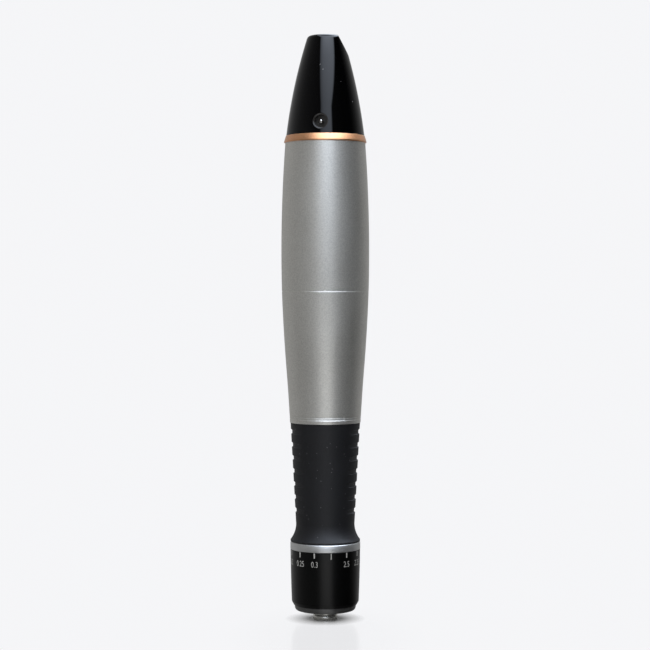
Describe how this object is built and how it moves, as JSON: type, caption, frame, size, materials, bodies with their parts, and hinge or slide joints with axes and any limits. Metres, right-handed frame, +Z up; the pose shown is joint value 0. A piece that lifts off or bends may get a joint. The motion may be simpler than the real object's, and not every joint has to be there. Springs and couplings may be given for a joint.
{
  "type": "microneedling pen",
  "caption": "Upright handheld microneedling pen: depth dial moves a nose collar along its needle driver, under a ribbed grip, metal shells and a tail cap with a charging inlet.",
  "frame": {"origin": "centre of the flat end of the driver rod, on which the pen stands upright", "axes": "+Z up along the pen from the nose to the tail cap, -Y towards the charging inlet, +X to the right seen from the inlet's side"},
  "size_m": [0.0248, 0.025, 0.165],
  "materials": {
    "cap_black": "gloss",
    "trim_copper": "polished",
    "shell_silver": "satin",
    "grip_rubber": "matte",
    "ring_silver": "satin",
    "dial_black": "satin",
    "collar_grey": "satin",
    "rod_steel": "polished",
    "steel": "plain",
    "spring_steel": "plain",
    "bronze": "plain",
    "copper": "plain",
    "core_aluminium": "machined",
    "nylon_white": "moulded",
    "nylon_black": "moulded",
    "magnet_dark": "plain",
    "lamination": "plain",
    "foam_grey": "foam",
    "seal_black": "plain",
    "board_green": "satin",
    "chip_black": "plain",
    "cell_sleeve": "gloss",
    "lead_red": "plain",
    "button_grey": "satin",
    "lens_clear": "frosted"
  },
  "bodies": {
    "barrel": {"return_spring": "spring_steel", "rod_bushes": "bronze", "guide_tube": "core_aluminium", "dial_snap_ring": "spring_steel", "dial_friction_ring": "seal_black", "index_ring": "ring_silver", "grip_core": "core_aluminium", "rubber_grip": "grip_rubber", "drive_frame": "nylon_black", "motor_plate": "core_aluminium", "motor_screws": "steel", "motor_can": "steel", "motor_magnets": "magnet_dark", "motor_end_cap": "nylon_black", "motor_bushes": "bronze", "motor_brushes": "magnet_dark", "motor_terminals": "bronze", "motor_damper": "seal_black", "front_shell": "shell_silver", "seam_seal": "seal_black", "tact_switch": "nylon_black", "indicator_lens": "lens_clear", "rear_shell": "shell_silver", "battery_tray": "nylon_black", "battery_cell": "cell_sleeve", "cell_pads": "foam_grey", "cell_tabs": "bronze", "circuit_board": "board_green", "board_components": "chip_black", "motor_leads": "lead_red", "trim_ring": "trim_copper", "tail_cap": "cap_black", "dc_jack_body": "nylon_black", "dc_jack_pin": "bronze", "dc_jack_tags": "bronze", "jack_leads": "lead_red"},
    "rotor": {"motor_shaft": "steel", "armature": "lamination", "motor_windings": "copper", "commutator": "copper", "face_cam": "nylon_white", "cam_set_screw": "steel"},
    "needle_driver": {"driver_rod": "rod_steel", "yoke_retaining_ring": "steel", "follower_yoke": "nylon_white", "follower_pin": "steel"},
    "depth_dial": {"depth_dial": "dial_black"},
    "nose_collar": {"nose_collar": "collar_grey", "cartridge_seal": "seal_black", "drive_stud": "steel"},
    "power_button": {"power_button": "button_grey", "switch_plunger": "nylon_black"}
  },
  "joints": [
    {"name": "rotor_spin", "type": "hinge", "parent": "barrel", "child": "rotor", "pos_m": [0, 0, 0.075], "axis": [0, 0, 1], "range_deg": [0, 180]},
    {"name": "needle_driver_stroke", "type": "slide", "parent": "barrel", "child": "needle_driver", "axis": [0, 0, -1], "range_m": [0, 0.0025], "stiffness_N_per_m": 150, "springref_m": -0.005, "deforming": ["return_spring"]},
    {"name": "depth_dial_turn", "type": "hinge", "parent": "barrel", "child": "depth_dial", "pos_m": [0, 0, 0.012], "axis": [0, 0, -1], "range_deg": [0, 332.31]},
    {"name": "nose_collar_slide", "type": "slide", "parent": "barrel", "child": "nose_collar", "axis": [0, 0, -1], "range_m": [0, 0.0025]},
    {"name": "power_button_press", "type": "slide", "parent": "barrel", "child": "power_button", "axis": [0, -1, 0], "range_m": [0, 0.0005], "stiffness_N_per_m": 1000, "springref_m": -0.0004}
  ],
  "couplings": [
    {"joint": "rotor_spin", "follows": "needle_driver_stroke", "rad_per_m": 1256.6},
    {"joint": "depth_dial_turn", "follows": "nose_collar_slide", "rad_per_m": 2319.9}
  ]
}
